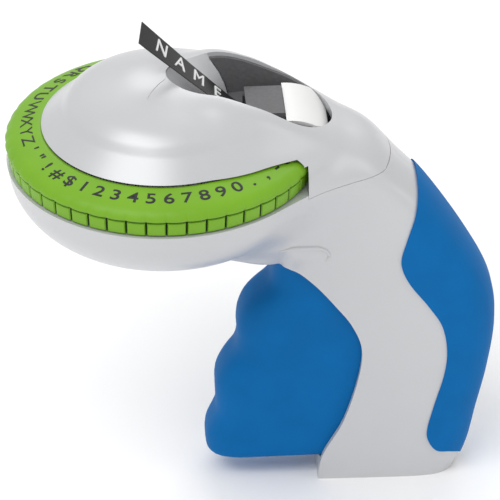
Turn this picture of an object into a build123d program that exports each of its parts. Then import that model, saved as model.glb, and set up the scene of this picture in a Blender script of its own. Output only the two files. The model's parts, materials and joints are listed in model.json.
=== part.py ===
from build123d import *
import os
from math import atan2, cos, degrees, hypot, radians, sin, tau

os.makedirs("parts", exist_ok=True)

# Embossing label maker: a dial wheel lies flat on a pistol handle.
# Frame: origin at the middle of the foot's flat face, +Z up, the wheel towards -X.
# Section points below are (x, z) pairs measured from the wheel's centre at the level of
# the dial's character edge, because every outline of the head is drawn from there.

# ---- driving dimensions, mm ----
wheel_x = -71.0          # wheel axis, forward of the foot's middle
wheel_z = 127.0          # level of the dial's character edge above the foot
dial_radius = 50.0
character_count = 49
tape_width = 9.0
tape_thickness = 0.4
seam_level = -7.5        # parting level of cover and body, from the wheel datum
cover_end = 72.0         # rear end of the top cover, from the wheel axis
lip_level = -6.1         # top of the bowl's lip, under the dial
lip_end = 41.0           # rear end of the lip, where the cover comes down to the body
gap = 0.3                # clearance between separate bodies
handle_floor = -121.0    # inside floor of the handle

side_plane = Plane(origin=(wheel_x, 0, wheel_z), x_dir=(1, 0, 0), z_dir=(0, -1, 0))
wheel_axis = Axis((wheel_x, 0, wheel_z), (0, 0, 1))


def level(z, x=0.0):
    """Horizontal sketch plane at a height from the wheel datum."""
    return Plane.XY.offset(wheel_z + z).shift_origin((wheel_x + x, 0, wheel_z + z))


def cross_plane(x, y, z):
    """Sketch plane square to Y, with its origin at a point of the wheel datum."""
    return Plane(origin=(wheel_x + x, y, wheel_z + z), x_dir=(1, 0, 0), z_dir=(0, -1, 0))


def turned(points):
    """Solid of revolution about the wheel axis from straight runs between points."""
    with BuildPart() as ring:
        with BuildSketch(side_plane):
            with BuildLine():
                Polyline(*points, close=True)
            make_face()
        revolve(axis=wheel_axis)
    return ring.part


def side_prism(points, half_width):
    """Plate with a side outline, centred on the symmetry plane."""
    with BuildPart() as plate:
        with BuildSketch(side_plane):
            with BuildLine():
                Polyline(*points, close=True)
            make_face()
        extrude(amount=half_width, both=True)
    return plate.part


def side_box(x0, x1, y0, y1, z0, z1):
    """Plain block between limits taken from the wheel datum."""
    with BuildPart() as block:
        with BuildSketch(level(z0, (x0 + x1) / 2)):
            with Locations((0, (y0 + y1) / 2)):
                Rectangle(x1 - x0, y1 - y0)
        extrude(amount=z1 - z0)
    return block.part


def y_rod(x, z, radius, y0, y1):
    """Round bar along Y."""
    with BuildPart() as rod:
        with BuildSketch(cross_plane(x, y1, z)):
            Circle(radius)
        extrude(amount=y1 - y0)
    return rod.part


def z_rod(x, y, radius, z0, z1):
    """Round bar along Z."""
    with BuildPart() as rod:
        with BuildSketch(level(z0, x)):
            with Locations((0, y)):
                Circle(radius)
        extrude(amount=z1 - z0)
    return rod.part


# ---- outer form of neck and handle ----
# Each row is one cross section: front or lower point, back or upper point, widest half
# width and its depth below the back, crease half width and its depth, half width of the
# back flat, half width of the front edge, and the thickness of the back wall.
neck_rows = [
    ((4, -27.5), (5, 18.0), 23.0, 22, 18.5, 5.0, 14.0, 14.0, 2.4),
    ((16, -32), (16, 22.0), 26.0, 25, 21.0, 5.0, 16.6, 20.0, 2.4),
    ((26, -36), (27.5, 18.9), 28.5, 24, 22.0, 5.2, 17.4, 20.5, 2.4),
    ((32, -38.5), (36.5, 14.8), 28.5, 21, 21.6, 5.2, 17.2, 18.0, 2.4),
    ((36, -40), (45.5, 10.4), 27.0, 17, 20.0, 4.8, 14.6, 15.5, 2.4),
    ((39, -41.6), (56, 5.2), 23.4, 13.5, 18.4, 5.0, 10.0, 14.2, 2.4),
    ((42, -44), (66, -0.2), 19.3, 12, 16.8, 5.0, 8.2, 13.6, 3.0),
    ((45, -47), (74.5, -9.6), 16.9, 11.5, 15.2, 4.6, 7.6, 13.4, 4.0),
    ((49, -51.5), (84, -20.5), 15.9, 11, 14.0, 4.2, 7.2, 13.2, 5.0),
    ((54, -58), (96.2, -39.4), 15.2, 10.5, 13.4, 4.0, 7.2, 13.2, 5.0),
    ((59.5, -66), (104.6, -56.5), 15.0, 10, 13.2, 4.0, 7.6, 13.2, 5.0),
    ((62.8, -75.5), (106.4, -71), 15.0, 10, 13.2, 4.0, 7.8, 13.2, 5.0),
    ((61.6, -88), (104.6, -88), 15.0, 10, 13.2, 4.0, 7.8, 13.2, 5.0),
    ((57, -104), (101.4, -104), 15.0, 10, 13.2, 4.0, 7.8, 13.2, 5.0),
    ((50.5, -117), (98.8, -117), 14.6, 10, 13.0, 4.0, 7.8, 13.2, 5.0),
    ((49, -127), (95.0, -127), 13.6, 10, 12.2, 4.0, 7.8, 12.6, 5.0),
]
floor_row = ((50.2, handle_floor), (97.6, handle_floor), 14.3, 10, 12.7, 4.0, 7.8, 13.0, 5.0)
above_floor_row = ((51.0, -116), (99.0, -116), 14.6, 10, 13.0, 4.0, 7.8, 13.2, 5.0)


def neck_form(inset_depth, inset_width, rows, own_wall=False):
    """Smooth neck and handle form, drawn in from its outside by the insets."""
    with BuildPart() as form:
        for front, back, half, widest, crease, crease_depth, flat, edge, back_wall in rows:
            dx = back[0] - front[0]
            dz = back[1] - front[1]
            depth = hypot(dx, dz)
            middle_x = wheel_x + (front[0] + back[0]) / 2
            middle_z = wheel_z + (front[1] + back[1]) / 2
            section = Plane(origin=(middle_x, 0, middle_z), x_dir=(dx, 0, dz), z_dir=(-dz, 0, dx))
            inset = back_wall if own_wall else inset_depth
            top = depth / 2 - inset
            bottom = inset - depth / 2
            w = half - inset_width
            lower = edge - inset_width
            with BuildSketch(section):
                with BuildLine():
                    outline = [
                        (top, -(flat - 0.4 * inset_width)),
                        (top - crease_depth, -(crease - inset_width)),
                        (top - widest, -w),
                        (bottom + 9.0, -(w + lower) / 2),
                        (bottom, -lower),
                    ]
                    mirrored = [(a, -b) for a, b in reversed(outline)]
                    Polyline(*outline, *mirrored, close=True)
                make_face()
        loft()
    return form.part


outer_neck = neck_form(0.0, 0.0, neck_rows)
inner_neck = neck_form(0.0, 2.7, neck_rows[:-2] + [above_floor_row, floor_row], own_wall=True)
grip_form = neck_form(-0.5, -0.4, neck_rows)
under_grip = neck_form(2.6, 1.4, neck_rows)

# ---- outer form of the head ----
bowl_points = [(0, -31.2), (18, -30.7), (30, -28.8), (38, -25.6), (44, -20.6), (48, -13.9), (49.6, -6.3)]
bowl_inner = [(0, -29), (17, -28.5), (29, -26.7), (36.5, -23.6), (42, -19.0), (45.8, -12.8), (47.3, -6.9)]
dome_points = [(38.4, 6.0), (31.6, 12.2), (29.2, 15.2), (24.8, 18.0), (17, 20.8), (9, 22.6), (0, 23.2)]
dome_inner = [(36.9, 6.2), (30.4, 11.0), (27.4, 13.8), (23.6, 16.0), (16.4, 18.6), (8.6, 20.4), (0, 21.0)]


def head_turn(start, points, end):
    """Solid of revolution with a smooth outline between two straight closing points."""
    with BuildPart() as head:
        with BuildSketch(side_plane):
            with BuildLine():
                Spline(*points)
                Polyline(points[-1], *end, *start, points[0])
            make_face()
        revolve(axis=wheel_axis)
    return head.part


bowl_outer = head_turn([], bowl_points, [(49.6, lip_level), (0, lip_level)])
bowl_hollow = head_turn([], bowl_inner, [(47.3, -5.9), (0, -5.9)])
with BuildPart() as dome:
    with BuildSketch(side_plane):
        with BuildLine():
            Line(dome_points[0], dome_points[1])
            Spline(*dome_points[1:])
            Polyline(dome_points[-1], (0, 6.0), dome_points[0])
        make_face()
    revolve(axis=wheel_axis)
dome_outer = dome.part
with BuildPart() as dome_space:
    with BuildSketch(side_plane):
        with BuildLine():
            Line(dome_inner[0], dome_inner[1])
            Spline(*dome_inner[1:])
            Polyline(dome_inner[-1], (0, -8), (36.9, -8), dome_inner[0])
        make_face()
    revolve(axis=wheel_axis)
dome_hollow = dome_space.part

# Space swept by the dial ring, with running clearance.
ring_space = turned([
    (36.6, 5.95), (38.6, 6.3), (46.9, 4.6), (49.4, 2.8), (50.5, 0.9), (50.5, -6.0), (36.6, -6.0),
])

# ---- tape bay in the cover ----
# In plan the opening is an ellipse in front, straight in the middle and round behind.
bay_half = 15.3
bay_front = 1.0
bay_widest = 30.0
bay_straight = 8.0
bay_lining = 1.2         # wall of the lining and of the cover's own skirt
bay_floor = 6.4          # underside of the lining's floor
bay_floor_top = 7.4


def bay_column(inset, z0, z1):
    """Upright column with the plan outline of the tape bay, drawn in by the inset."""
    half = bay_half - inset
    with BuildPart() as column:
        with BuildSketch(level(z0, bay_widest)):
            Ellipse(bay_widest - bay_front - inset, half)
            with Locations((bay_widest, 0)):
                Rectangle(2 * bay_widest, 4 * bay_half, mode=Mode.SUBTRACT)
            with Locations((bay_straight / 2, 0)):
                Rectangle(bay_straight, 2 * half)
            with Locations((bay_straight, 0)):
                Circle(half)
        extrude(amount=z1 - z0)
    return column.part


bay_space = bay_column(0.0, 4.0, 34.0)
# The cover's skirt lines the front of the bay, ahead of a sloping edge.
skirt_zone = side_prism([(-5, 5), (21.4, 5), (21.1, 7.4), (20.2, 11.1), (18.4, 15.6), (15.0, 21.5), (12, 34), (-5, 34)], 30)
lining_zone = side_prism(
    [(-5, 5), (21.6, 5), (21.3, 7.4), (20.4, 11.1), (18.6, 15.6), (15.2, 21.5), (12.2, 34), (-5, 34)], 30,
)
with BuildPart() as skirt_form:
    add(bay_column(0.0, bay_floor_top + 0.1, 34.0))
    add(bay_column(bay_lining, 0.0, 40.0), mode=Mode.SUBTRACT)
    add(skirt_zone, mode=Mode.INTERSECT)
bay_skirt = skirt_form.part

# ---- top cover ----
cover_side = 19.0        # half width where the cover's end arc starts
cover_side_x = 65.3


def cover_zone(grow):
    """Region above the parting level, with a rounded rear end in plan."""
    with BuildPart() as zone:
        with BuildSketch(level(seam_level - grow)):
            with BuildLine():
                Polyline(
                    (cover_side_x + grow, cover_side), (cover_side_x + grow, 60), (-60, 60), (-60, -60),
                    (cover_side_x + grow, -60), (cover_side_x + grow, -cover_side),
                )
                ThreePointArc(
                    (cover_side_x + grow, -cover_side), (cover_end + grow, 0), (cover_side_x + grow, cover_side)
                )
            make_face()
        extrude(amount=60)
        add(side_box(-61, lip_end + grow, -61, 61, -20, lip_level + 0.3 - grow), mode=Mode.SUBTRACT)
    return zone.part


with BuildPart() as skirt:
    add(dome_outer)
    add(outer_neck)
    add(bay_skirt, mode=Mode.INTERSECT)
inner_skirt = skirt.part

with BuildPart() as top_cover:
    add(dome_outer)
    add(outer_neck)
    add(cover_zone(-0.15), mode=Mode.INTERSECT)
    add(dome_hollow, mode=Mode.SUBTRACT)
    add(inner_neck, mode=Mode.SUBTRACT)
    add(ring_space, mode=Mode.SUBTRACT)
    add(bay_space, mode=Mode.SUBTRACT)
    add(inner_skirt)
top_cover.part.label = "top_cover"

# ---- body halves ----
# Channel for the trigger through the handle's front and the underside of the bowl.
trigger_half = 11.4
trigger_channel = side_prism(
    [(22.5, -24), (34, -24), (50, -35), (61, -43), (71, -56), (77.6, -68), (78, -84), (74, -104), (66, -119.6),
     (8, -119.6), (8, -60), (22.5, -42)],
    trigger_half + gap,
)
grip_zone = side_prism(
    [(80.3, -16.5), (79.0, -24), (76.6, -32), (74.8, -39.5), (75.4, -44.5), (78.3, -50.5), (84, -58.5),
     (88.6, -66.5), (90.4, -76.5), (89.6, -86), (86.6, -98), (84.6, -107.5), (85.2, -112), (88, -116),
     (92.6, -117.2), (96, -119.6), (97.4, -124.5), (112, -124.5), (112, -16.5)],
    30,
)
with BuildPart() as rear_grip:
    add(grip_form)
    add(under_grip, mode=Mode.SUBTRACT)
    add(grip_zone, mode=Mode.INTERSECT)
rear_grip.part.label = "rear_grip"

spindle_radius = 4.0
boss_radius = 7.5
boss_top = -19.0
pivot_x = 18.0
pivot_z = -18.0
pivot_radius = 1.6
reel_x = 60.0
reel_z = -21.0
handle_screws = [(80, -62), (84, -88), (79.5, -113)]
lug_screw = (-38, -16)
screw_radius = 1.2
head_radius = 2.3

with BuildPart() as shell:
    add(bowl_outer)
    add(outer_neck)
    add(cover_zone(0.0), mode=Mode.SUBTRACT)
    add(side_box(-61, lip_end + 0.2, -61, 61, lip_level, 40), mode=Mode.SUBTRACT)
    add(bowl_hollow, mode=Mode.SUBTRACT)
    add(inner_neck, mode=Mode.SUBTRACT)
    add(ring_space, mode=Mode.SUBTRACT)
    add(z_rod(0, 0, boss_radius, -30, boss_top))
    for side in (-1, 1):
        middle = side * 11.4
        add(side_box(pivot_x - 4, pivot_x + 4, middle - 1.6, middle + 1.6, -29.5, pivot_z + 4))
    add(y_rod(pivot_x, pivot_z, pivot_radius, -12.5, 12.5), mode=Mode.SUBTRACT)
    add(side_box(-41.5, -34.5, -9, 9, -23.5, -10))
    for x, z in handle_screws:
        add(y_rod(x, z, 3.6, -14, 14))
    add(z_rod(0, 0, spindle_radius, -24.5, 0), mode=Mode.SUBTRACT)
    for x, z in [lug_screw] + handle_screws:
        add(y_rod(x, z, screw_radius, -6, 9), mode=Mode.SUBTRACT)
        add(y_rod(x, z, head_radius, 8, 20 if x > 0 else 9), mode=Mode.SUBTRACT)
    add(trigger_channel, mode=Mode.SUBTRACT)
    add(rear_grip.part, mode=Mode.SUBTRACT)
body_shell = shell.part


# The halves meet in the middle plane. A tongue on the right half sits in a notch in the left
# half's foot and keeps their flat faces level.
half_gap = 0.05
foot_middle = -wheel_x
foot_level = -wheel_z
tongue_width = 4.0
tongue_height = 3.0


def foot_tongue(grow):
    """Tongue across the middle of the foot, grown by a clearance for its notch."""
    return side_box(
        foot_middle - 5 - grow, foot_middle + 5 + grow, -tongue_width - grow, half_gap,
        foot_level, foot_level + tongue_height + grow,
    )


def body_half(side):
    """One half of the lower body, left at -Y or right at +Y."""
    low = half_gap if side > 0 else -60
    high = 60 if side > 0 else -half_gap
    with BuildPart() as half:
        add(body_shell)
        add(side_box(-60, 125, low, high, -140, 45), mode=Mode.INTERSECT)
        if side > 0:
            add(foot_tongue(0.0))
        else:
            add(foot_tongue(0.1), mode=Mode.SUBTRACT)
    return half.part


with BuildPart() as body_left:
    add(body_half(-1))
body_left.part.label = "body_left"
with BuildPart() as body_right:
    add(body_half(1))
body_right.part.label = "body_right"

# ---- tape bay liner: a dark tray below the opening, with a stepped floor ----
hood_top = 12.4          # raised floor over the pinch roller
hood_wall = 1.2
block_half = 11.6
with BuildPart() as bay_envelope:
    add(neck_form(1.0, 0.6, neck_rows))
    add(dome_hollow)
bay_top = bay_envelope.part
with BuildPart() as bay_liner:
    add(bay_column(0.1, bay_floor, 34.0))
    add(bay_column(0.1 + bay_lining, bay_floor_top, 35.0), mode=Mode.SUBTRACT)
    with BuildPart(mode=Mode.PRIVATE) as wall_front:
        add(lining_zone)
        add(side_box(-6, 40, -30, 30, 0, bay_floor_top), mode=Mode.SUBTRACT)
    add(wall_front.part, mode=Mode.SUBTRACT)
    add(side_box(26.0, 37.8, -8.4, 8.4, bay_floor, hood_top))
    add(side_box(20.9, 39.0, -7.2, 7.2, 6.0, hood_top - hood_wall), mode=Mode.SUBTRACT)
    add(side_box(21.4, 26.0, -5.2, 5.2, 6.0, 16), mode=Mode.SUBTRACT)
    add(side_box(37.8, 60, -block_half - 0.2, block_half + 0.2, 0, 40), mode=Mode.SUBTRACT)
    add(bay_top, mode=Mode.INTERSECT)
bay_liner.part.label = "bay_liner"

# ---- white block at the rear of the bay, over the anvil ----
block_front = 38.1
with BuildPart() as anvil_cover:
    with BuildSketch(side_plane):
        with BuildLine():
            Polyline((block_front, 8.3), (block_front, 11.4))
            Spline((block_front, 11.4), (44, 10.6), (49, 8.0), (52.2, 3.8), (53.1, 0.6))
            Polyline(
                (53.1, 0.6), (51.7, 0.6), (50.8, 3.6), (48, 6.8), (43.6, 9.0), (39.6, 9.7), (39.6, 8.3),
                (block_front, 8.3),
            )
        make_face()
    extrude(amount=block_half, both=True)
    add(bay_column(0.4, -5.0, 34.0), mode=Mode.INTERSECT)
    add(side_box(44, 60, -6.2, 6.2, -6, 4.6), mode=Mode.SUBTRACT)
anvil_cover.part.label = "anvil_cover"

# ---- dial ring with finger pads ----
band_bottom = -5.7
with BuildPart() as dial_ring:
    with BuildSketch(side_plane):
        with BuildLine():
            Polyline(
                (dial_radius, 0), (49.8, 0.8), (48.7, 2.3), (46.5, 3.9), (38.9, 5.4), (38.0, 5.4), (38.0, 3.2),
                (45.4, 1.2), (47.0, -0.9),
                (47.0, band_bottom), (48.84, band_bottom), close=True,
            )
        make_face()
    revolve(axis=wheel_axis)
    with Locations(Location((wheel_x, 0, wheel_z + band_bottom / 2 - 0.4))):
        with PolarLocations(dial_radius, character_count, start_angle=degrees(tau / character_count / 2)):
            Box(1.5, 0.5, -band_bottom, mode=Mode.SUBTRACT)
dial_ring.part.label = "dial_ring"

# ---- punch disc: one sprung tongue with a type slug for each character ----
disc_top = -1.2
disc_bottom = -2.6
slug_radius = 36.0
slug_top = 5.8
with BuildPart() as punch_disc:
    with BuildSketch(level(disc_bottom)):
        Circle(46.95)
    extrude(amount=disc_top - disc_bottom)
    with BuildSketch(level(-8.0)):
        Circle(7.0)
    extrude(amount=10.5)
    with BuildSketch(level(disc_top)):
        with PolarLocations(slug_radius - 0.6, character_count):
            Rectangle(2.2, 2.6)
    extrude(amount=slug_top - disc_top)
    with BuildSketch(level(disc_bottom)):
        with PolarLocations(32.0, character_count, start_angle=degrees(tau / character_count / 2)):
            Rectangle(14.0, 0.7)
    extrude(amount=disc_top - disc_bottom, mode=Mode.SUBTRACT)
    with BuildSketch(level(-8.0)):
        Circle(spindle_radius + 0.05)
    extrude(amount=12, mode=Mode.SUBTRACT)
punch_disc.part.label = "punch_disc"

# ---- wheel spindle and its clip ----
with BuildPart() as wheel_spindle:
    add(z_rod(0, 0, spindle_radius, -24.5, 6.0))
    add(turned([(3.0, 3.2), (5.0, 3.2), (5.0, 4.2), (3.0, 4.2)]), mode=Mode.SUBTRACT)
    chamfer(wheel_spindle.edges().group_by(Axis.Z)[-1], 0.6)
wheel_spindle.part.label = "wheel_spindle"
with BuildPart() as spindle_clip:
    add(turned([(3.05, 3.25), (6.2, 3.25), (6.2, 4.15), (3.05, 4.15)]))
    add(side_box(-8, -1.5, -2.0, 2.0, 3, 5), mode=Mode.SUBTRACT)
spindle_clip.part.label = "spindle_clip"

# ---- spacer bush that carries the punch disc above the boss ----
with BuildPart() as spindle_bush:
    add(turned([(spindle_radius + 0.05, boss_top), (7.0, boss_top), (7.0, -8.2), (spindle_radius + 0.05, -8.2)]))
spindle_bush.part.label = "spindle_bush"

# ---- detent leaf under the dial band, at the front ----
with BuildPart() as detent_spring:
    with BuildSketch(side_plane):
        with BuildLine():
            Polyline(
                (-45.2, -12.4), (-44.2, -12.4), (-44.2, -8.0), (-45.3, -6.9), (-46.2, -6.9), (-45.2, -8.1), close=True
            )
        make_face()
    extrude(amount=4.0, both=True)
detent_spring.part.label = "detent_spring"

# ---- trigger: blue outer grip over a lever ----
front_points = [
    (27.6, -36.0), (29.6, -46.0), (26.8, -52.5), (23.8, -60.0), (23.0, -67.0), (22.8, -73.0), (20.0, -78.5),
    (16.6, -85.0), (15.7, -92.0), (15.8, -98.8), (13.6, -103.5), (12.3, -109.5), (12.5, -113.4), (14.6, -117.8),
]
rear_points = [(18.5, -119.2), (53, -119.2), (56.5, -112), (61.0, -101), (64.8, -90), (66.6, -79), (65.4, -70),
               (60, -59.5), (52.5, -49.5), (45, -40), (37, -36.0)]
with BuildPart() as trigger_grip:
    with BuildSketch(side_plane):
        with BuildLine():
            Spline(*front_points)
            Polyline(front_points[-1], *rear_points, front_points[0])
        make_face()
    extrude(amount=trigger_half, both=True)
    front_edges = trigger_grip.edges().filter_by(GeomType.BSPLINE)
    fillet(front_edges, 9.0)
    with BuildSketch(side_plane):
        with BuildLine():
            Polyline(
                (35.0, -20), (37, -46), (32.5, -57), (31.0, -70), (25, -83), (24, -96), (21.5, -107), (21.5, -113),
                (90, -113), (90, -20), close=True,
            )
        make_face()
    extrude(amount=trigger_half - 2.2, both=True, mode=Mode.SUBTRACT)
trigger_grip.part.label = "trigger_grip"

lever_half = 4.0
lever_reach = 12.9       # pivot to plunger, along X
with BuildPart() as trigger_lever:
    with BuildSketch(side_plane):
        with BuildLine():
            Polyline(
                (pivot_x - 3.2, pivot_z + 1.2), (pivot_x - 1.2, pivot_z + 3.6), (pivot_x + 4, pivot_z + 3.6),
                (pivot_x + 10.5, pivot_z + 4.4), (pivot_x + 14.6, pivot_z + 4.4), (pivot_x + 16, pivot_z + 1),
                (40, -28), (45.0, -46), (41, -58), (41.0, -70), (35, -84), (34, -96), (32, -110),
                (22.2, -110), (21.8, -107), (24.2, -96), (25.2, -83), (31.2, -70), (32.7, -57), (37.2, -46),
                (36.2, -35), (29, -27), (24, -23), (pivot_x - 3.2, pivot_z - 3), close=True,
            )
        make_face()
    extrude(amount=lever_half, both=True)
    with BuildSketch(cross_plane(pivot_x, 0, pivot_z)):
        Circle(pivot_radius + 0.05)
    extrude(amount=lever_half, both=True, mode=Mode.SUBTRACT)
trigger_lever.part.label = "trigger_lever"

# ---- steel frame on the bowl floor: carries the trigger pivot and guides the plunger ----
plunger_x = pivot_x + lever_reach + 4.0
frame_half = 8.2
plunger_radius = 1.8
with BuildPart() as press_frame:
    for side in (-1, 1):
        with BuildSketch(cross_plane(0, side * frame_half + 0.6, 0)):
            with BuildLine():
                Polyline((13.5, -23.6), (22, -23.6), (28, -20), (40, -20), (40, -7.2), (29, -7.2), (13.5, -13.5), close=True)
            make_face()
        extrude(amount=1.2)
    add(side_box(29, 40, -frame_half - 0.6, frame_half + 0.6, -8.4, -7.2))
    with BuildSketch(level(-9, plunger_x)):
        Circle(plunger_radius + 0.05)
    extrude(amount=3, mode=Mode.SUBTRACT)
    add(y_rod(pivot_x, pivot_z, pivot_radius, -20, 20), mode=Mode.SUBTRACT)
press_frame.part.label = "press_frame"

with BuildPart() as pivot_pin:
    add(y_rod(pivot_x, pivot_z, pivot_radius, -12.4, 12.4))
pivot_pin.part.label = "pivot_pin"

# ---- plunger pushed up by the lever's nose ----
plunger_top = -5.1
plunger_collar = -11.6
nose_top = pivot_z + 4.4
with BuildPart() as press_plunger:
    add(z_rod(plunger_x, 0, plunger_radius, nose_top + 0.15, plunger_top))
    add(z_rod(plunger_x, 0, 3.4, nose_top + 0.15, nose_top + 1.2))
    chamfer(press_plunger.edges().group_by(Axis.Z)[-1], 0.4)
press_plunger.part.label = "press_plunger"

# ---- return spring around the plunger, from its collar to the frame ----
spring_low = nose_top + 1.55
spring_high = -8.75
wire = 0.5
with BuildPart() as return_spring:
    coil_base = Plane.XY.offset(wheel_z + spring_low).shift_origin((wheel_x + plunger_x, 0, wheel_z + spring_low))
    with BuildLine(coil_base):
        coil = Helix(pitch=(spring_high - spring_low) / 3, height=spring_high - spring_low, radius=2.65)
    with BuildSketch(Plane(origin=coil @ 0, z_dir=coil % 0)):
        Circle(wire / 2)
    sweep(path=coil, is_frenet=True)
return_spring.part.label = "return_spring"

# ---- anvil above the tape ----
with BuildPart() as anvil_block:
    add(side_box(slug_radius - 3.0, slug_radius + 1.0, -5.2, 5.2, 7.4, 11.0))
anvil_block.part.label = "anvil_block"

# ---- feed rollers and their bracket ----
roller_x = 28.6
feed_radius = 2.3
feed_z = 4.45
pinch_radius = 1.7
pinch_z = 7.0 + 0.25 + pinch_radius
axle_radius = 0.8
cheek_inner = 5.0
cheek_outer = 6.2
with BuildPart() as roller_bracket:
    for side in (-1, 1):
        middle = side * (cheek_inner + cheek_outer) / 2
        add(side_box(roller_x - 3.2, roller_x + 3.2, middle - 0.6, middle + 0.6, 2.6, 11.1))
    for z in (feed_z, pinch_z):
        add(y_rod(roller_x, z, axle_radius + 0.05, -8, 8), mode=Mode.SUBTRACT)
roller_bracket.part.label = "roller_bracket"
with BuildPart() as feed_roller:
    add(y_rod(roller_x, feed_z, feed_radius, -4.6, 4.6))
    add(y_rod(roller_x, feed_z, axle_radius, -6.9, 6.9))
feed_roller.part.label = "feed_roller"
with BuildPart() as pinch_roller:
    add(y_rod(roller_x, pinch_z, pinch_radius, -4.6, 4.6))
    add(y_rod(roller_x, pinch_z, axle_radius, -6.9, 6.9))
pinch_roller.part.label = "pinch_roller"

# ---- cutter blade behind the exit slot ----
with BuildPart() as cutter_blade:
    with BuildSketch(cross_plane(0, 4.8, 0)):
        with BuildLine():
            Polyline((22.2, 1.2), (23.2, 1.2), (23.2, 4.2), (22.2, 5.4), close=True)
        make_face()
    extrude(amount=9.6)
cutter_blade.part.label = "cutter_blade"
with BuildPart() as cutter_guide:
    for side in (-1, 1):
        middle = side * 5.6
        add(side_box(21.2, 24.2, middle - 0.5, middle + 0.5, 0.6, 8.0))
    add(side_box(23.3, 24.2, -5.1, 5.1, 0.6, 3.0))
cutter_guide.part.label = "cutter_guide"

# ---- tape roll on its reel, in the neck ----
roll_radius = 11.5
reel_bore = 3.0
with BuildPart() as reel_axle:
    add(y_rod(reel_x, reel_z, reel_bore - 0.05, -9.0, 9.0))
reel_axle.part.label = "reel_axle"
with BuildPart() as tape_reel:
    add(y_rod(reel_x, reel_z, 5.5, -tape_width / 2 - 0.2, tape_width / 2 + 0.2))
    for side in (-1, 1):
        middle = side * (tape_width / 2 + 0.6)
        add(y_rod(reel_x, reel_z, 9.5, middle - 0.4, middle + 0.4))
    add(y_rod(reel_x, reel_z, reel_bore, -8, 8), mode=Mode.SUBTRACT)
tape_reel.part.label = "tape_reel"
with BuildPart() as tape_roll:
    add(y_rod(reel_x, reel_z, roll_radius, -tape_width / 2, tape_width / 2))
    add(y_rod(reel_x, reel_z, 5.5, -8, 8), mode=Mode.SUBTRACT)
tape_roll.part.label = "tape_roll"
with BuildPart() as reel_holder:
    for side in (-1, 1):
        middle = side * 7.2
        with BuildSketch(cross_plane(reel_x, middle + 0.6, reel_z)):
            SlotCenterToCenter(12, 9)
            Circle(reel_bore - 0.05, mode=Mode.SUBTRACT)
        extrude(amount=1.2)
    add(side_box(reel_x - 5, reel_x + 6, -7.8, 7.8, reel_z - 13.4, reel_z - 12.4))
    for side in (-1, 1):
        middle = side * 7.2
        add(side_box(reel_x - 5, reel_x + 6, middle - 0.6, middle + 0.6, reel_z - 13.4, reel_z - 4.0))
reel_holder.part.label = "reel_holder"

# ---- label tape: from the roll, over the dial, under the anvil and up out of the bay ----
# Each row: x, z and the turn of the tape's width about its own length, degrees.
tape_rows = [
    (65.5, -9.4, 0), (59, -5.4, 0), (53.4, -0.4, 0), (50.8, 2.9, 0), (44, 5.8, 0), (38.8, 7.0, 0), (33, 7.0, 0),
    (27.2, 7.05, 0), (25.2, 8.0, 0), (22.0, 10.6, 1), (17.6, 14.7, 3), (12.6, 19.4, 6), (7.6, 24.2, 9),
    (2.4, 29.3, 13), (-2.6, 34.2, 17), (-7.4, 39.0, 20),
]


def tape_plane(index):
    """Plane across the tape at one row, square to its run."""
    before = tape_rows[max(index - 1, 0)]
    after = tape_rows[min(index + 1, len(tape_rows) - 1)]
    run = atan2(after[1] - before[1], after[0] - before[0])
    x, z, twist = tape_rows[index]
    turn = radians(twist)
    across = (sin(turn) * sin(run), cos(turn), -sin(turn) * cos(run))
    return Plane(origin=(wheel_x + x, 0, wheel_z + z), x_dir=across, z_dir=(cos(run), 0, sin(run)))


with BuildPart() as label_tape:
    for index in range(len(tape_rows)):
        with BuildSketch(tape_plane(index)):
            Rectangle(tape_width, tape_thickness)
    loft(ruled=True)
label_tape.part.label = "label_tape"

# ---- rails that carry the tape over the dial ----
with BuildPart() as tape_guide:
    for side in (-1, 1):
        middle = side * (tape_width / 2 + 0.8)
        with BuildSketch(cross_plane(0, middle + 0.5, 0)):
            with BuildLine():
                Polyline(
                    (56, -5.4), (53.2, -2.4), (51.3, 0.2), (51.3, 1.6), (49.6, 3.2), (46.7, 4.5), (44, 5.2),
                    (39.9, 6.4), (39.9, 7.9), (44.4, 6.9), (50.0, 4.2), (56, -2.0), close=True,
                )
            make_face()
        extrude(amount=1.0)
    add(side_box(53.4, 54.6, -5.8, 5.8, -4.6, -3.0))
tape_guide.part.label = "tape_guide"

# ---- housing screws, entered from the right side ----
with BuildPart() as housing_screws:
    for x, z in [lug_screw] + handle_screws:
        add(y_rod(x, z, screw_radius, -6.0, 8.0))
        add(y_rod(x, z, head_radius, 8.0, 9.6))
housing_screws.part.label = "housing_screws"

pieces = [
    top_cover, body_left, body_right, rear_grip, bay_liner, anvil_cover, dial_ring, punch_disc, wheel_spindle,
    spindle_clip, spindle_bush, detent_spring, trigger_grip, trigger_lever, press_frame, pivot_pin, press_plunger,
    return_spring, anvil_block, roller_bracket, feed_roller, pinch_roller, cutter_blade, cutter_guide, reel_axle,
    tape_reel, tape_roll, reel_holder, label_tape, tape_guide, housing_screws,
]
for piece in pieces:
    export_step(piece.part, "parts/" + piece.part.label + ".step")
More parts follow.
